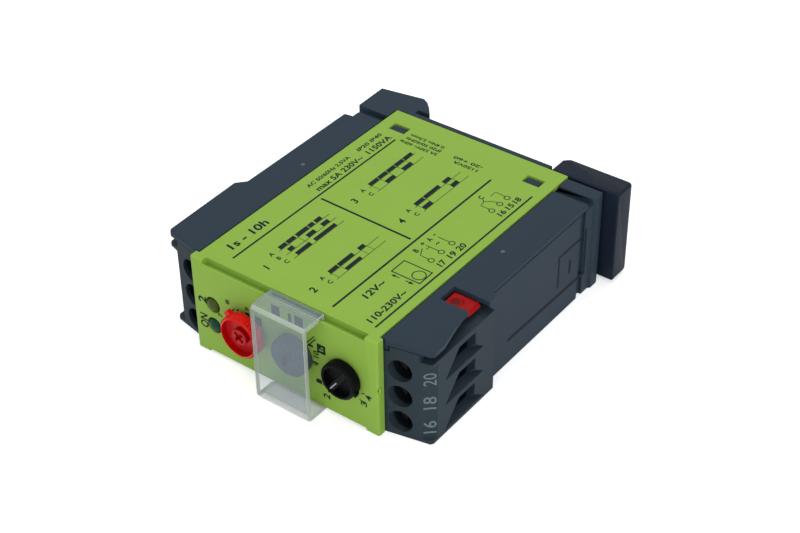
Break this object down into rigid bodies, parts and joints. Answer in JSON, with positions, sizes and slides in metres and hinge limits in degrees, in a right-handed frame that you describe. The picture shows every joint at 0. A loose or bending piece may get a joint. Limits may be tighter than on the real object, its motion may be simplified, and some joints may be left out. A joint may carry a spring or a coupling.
{
  "type": "din rail timer",
  "caption": "Slim rail-mounted timer module with front knobs, sliding clear cover, lamps, screw clamp terminals at both ends and a sprung rail latch.",
  "frame": {"origin": "middle of the underside of the part's box, with the module lying on its wide side", "axes": "+X along the mounted height towards the rail latch, +Y from the front face to the rail, +Z across the module's width"},
  "size_m": [0.0654, 0.0772, 0.0225],
  "materials": {
    "housing_plastic": "fine satin moulding, slate grey",
    "green_plastic": "smooth satin moulding, yellow green",
    "clear_plastic": "clear polished plastic",
    "red_plastic": "smooth moulding, red",
    "grey_plastic": "satin moulding, mid grey",
    "black_plastic": "satin moulding, near black",
    "blue_plastic": "moulded component body, blue",
    "pale_plastic": "moulded component body, off white",
    "amber_lens": "translucent lens, unlit",
    "green_lens": "translucent lens, unlit",
    "brass": "plated screw and contact metal",
    "steel": "zinc plated sheet",
    "copper_wire": "enamelled winding wire",
    "board": "glass fibre board with solder mask",
    "capacitor_red": "boxed film capacitor",
    "capacitor_sleeve": "sleeved can",
    "ferrite": "sintered ferrite"
  },
  "bodies": {
    "housing": {"housing_base": "housing_plastic", "side_lid": "housing_plastic", "front_cover": "green_plastic", "terminal_block_right": "housing_plastic", "terminal_block_left": "housing_plastic", "lamp_upper": "amber_lens", "lamp_lower": "green_lens", "latch_spring": "steel", "main_board": "board", "front_board": "board", "board_header": "black_plastic", "time_potentiometer": "blue_plastic", "range_switch": "blue_plastic", "function_switch": "blue_plastic", "relay_base": "black_plastic", "relay_case": "pale_plastic", "relay_yoke": "steel", "relay_bobbin": "pale_plastic", "relay_winding": "copper_wire", "relay_open_contact": "brass", "relay_rest_contact": "brass", "film_capacitor": "capacitor_red", "electrolytic_capacitor": "capacitor_sleeve", "varistor": "blue_plastic", "choke": "ferrite", "control_chip": "black_plastic", "terminal_bar_right_1": "brass", "terminal_bar_right_2": "brass", "terminal_bar_right_3": "brass", "terminal_bar_left_1": "brass", "terminal_bar_left_2": "brass", "terminal_bar_left_3": "brass"},
    "clear_cover_body": {"clear_cover": "clear_plastic"},
    "time_knob_body": {"time_knob": "red_plastic"},
    "range_knob_body": {"range_knob": "grey_plastic"},
    "function_knob_body": {"function_knob": "black_plastic"},
    "catch_body": {"locking_catch": "red_plastic"},
    "latch_body": {"rail_latch": "black_plastic"},
    "armature_body": {"relay_armature": "steel", "relay_blade": "brass"},
    "terminal_screw_right_1_body": {"terminal_screw_right_1": "brass"},
    "clamp_cage_right_1_body": {"clamp_cage_right_1": "steel"},
    "terminal_screw_right_2_body": {"terminal_screw_right_2": "brass"},
    "clamp_cage_right_2_body": {"clamp_cage_right_2": "steel"},
    "terminal_screw_right_3_body": {"terminal_screw_right_3": "brass"},
    "clamp_cage_right_3_body": {"clamp_cage_right_3": "steel"},
    "terminal_screw_left_1_body": {"terminal_screw_left_1": "brass"},
    "clamp_cage_left_1_body": {"clamp_cage_left_1": "steel"},
    "terminal_screw_left_2_body": {"terminal_screw_left_2": "brass"},
    "clamp_cage_left_2_body": {"clamp_cage_left_2": "steel"},
    "terminal_screw_left_3_body": {"terminal_screw_left_3": "brass"},
    "clamp_cage_left_3_body": {"clamp_cage_left_3": "steel"}
  },
  "joints": [
    {"name": "clear_cover_slide", "type": "slide", "parent": "housing", "child": "clear_cover_body", "axis": [1, 0, 0], "range_m": [-0.016, 0.0095]},
    {"name": "time_knob_turn", "type": "hinge", "parent": "housing", "child": "time_knob_body", "pos_m": [-0.00895, -0.0337, 0.01125], "axis": [0, 1, 0], "range_deg": [-150, 150]},
    {"name": "range_knob_turn", "type": "hinge", "parent": "housing", "child": "range_knob_body", "pos_m": [0.00245, -0.0337, 0.01125], "axis": [0, 1, 0], "range_deg": [-150, 150]},
    {"name": "function_knob_turn", "type": "hinge", "parent": "housing", "child": "function_knob_body", "pos_m": [0.01415, -0.0337, 0.01125], "axis": [0, 1, 0], "range_deg": [-150, 150]},
    {"name": "catch_slide", "type": "slide", "parent": "housing", "child": "catch_body", "axis": [1, 0, 0], "range_m": [0, 0.0018]},
    {"name": "latch_slide", "type": "slide", "parent": "housing", "child": "latch_body", "axis": [1, 0, 0], "range_m": [0, 0.004], "stiffness_N_per_m": 1500, "springref_m": -0.002, "deforming": ["latch_spring"]},
    {"name": "armature_tilt", "type": "hinge", "parent": "housing", "child": "armature_body", "pos_m": [0.00825, 0.0114, 0.0167], "axis": [-1, 0, 0], "range_deg": [0, 7], "stiffness_Nm_per_rad": 0.01, "springref_deg": -5.73},
    {"name": "terminal_screw_right_1_turn", "type": "hinge", "parent": "housing", "child": "terminal_screw_right_1_body", "pos_m": [0.02465, -0.0286, 0.00355], "axis": [0, 1, 0], "range_deg": [0, 1728]},
    {"name": "clamp_cage_right_1_lift", "type": "slide", "parent": "housing", "child": "clamp_cage_right_1_body", "axis": [0, -1, 0], "range_m": [0, 0.0024]},
    {"name": "terminal_screw_right_2_turn", "type": "hinge", "parent": "housing", "child": "terminal_screw_right_2_body", "pos_m": [0.02465, -0.0286, 0.00965], "axis": [0, 1, 0], "range_deg": [0, 1728]},
    {"name": "clamp_cage_right_2_lift", "type": "slide", "parent": "housing", "child": "clamp_cage_right_2_body", "axis": [0, -1, 0], "range_m": [0, 0.0024]},
    {"name": "terminal_screw_right_3_turn", "type": "hinge", "parent": "housing", "child": "terminal_screw_right_3_body", "pos_m": [0.02465, -0.0286, 0.01575], "axis": [0, 1, 0], "range_deg": [0, 1728]},
    {"name": "clamp_cage_right_3_lift", "type": "slide", "parent": "housing", "child": "clamp_cage_right_3_body", "axis": [0, -1, 0], "range_m": [0, 0.0024]},
    {"name": "terminal_screw_left_1_turn", "type": "hinge", "parent": "housing", "child": "terminal_screw_left_1_body", "pos_m": [-0.02615, -0.0286, 0.00355], "axis": [0, 1, 0], "range_deg": [0, 1728]},
    {"name": "clamp_cage_left_1_lift", "type": "slide", "parent": "housing", "child": "clamp_cage_left_1_body", "axis": [0, -1, 0], "range_m": [0, 0.0024]},
    {"name": "terminal_screw_left_2_turn", "type": "hinge", "parent": "housing", "child": "terminal_screw_left_2_body", "pos_m": [-0.02615, -0.0286, 0.00965], "axis": [0, 1, 0], "range_deg": [0, 1728]},
    {"name": "clamp_cage_left_2_lift", "type": "slide", "parent": "housing", "child": "clamp_cage_left_2_body", "axis": [0, -1, 0], "range_m": [0, 0.0024]},
    {"name": "terminal_screw_left_3_turn", "type": "hinge", "parent": "housing", "child": "terminal_screw_left_3_body", "pos_m": [-0.02615, -0.0286, 0.01575], "axis": [0, 1, 0], "range_deg": [0, 1728]},
    {"name": "clamp_cage_left_3_lift", "type": "slide", "parent": "housing", "child": "clamp_cage_left_3_body", "axis": [0, -1, 0], "range_m": [0, 0.0024]}
  ],
  "couplings": [
    {"joint": "terminal_screw_right_1_turn", "follows": "clamp_cage_right_1_lift", "rad_per_m": 12566},
    {"joint": "terminal_screw_right_2_turn", "follows": "clamp_cage_right_2_lift", "rad_per_m": 12566},
    {"joint": "terminal_screw_right_3_turn", "follows": "clamp_cage_right_3_lift", "rad_per_m": 12566},
    {"joint": "terminal_screw_left_1_turn", "follows": "clamp_cage_left_1_lift", "rad_per_m": 12566},
    {"joint": "terminal_screw_left_2_turn", "follows": "clamp_cage_left_2_lift", "rad_per_m": 12566},
    {"joint": "terminal_screw_left_3_turn", "follows": "clamp_cage_left_3_lift", "rad_per_m": 12566}
  ]
}
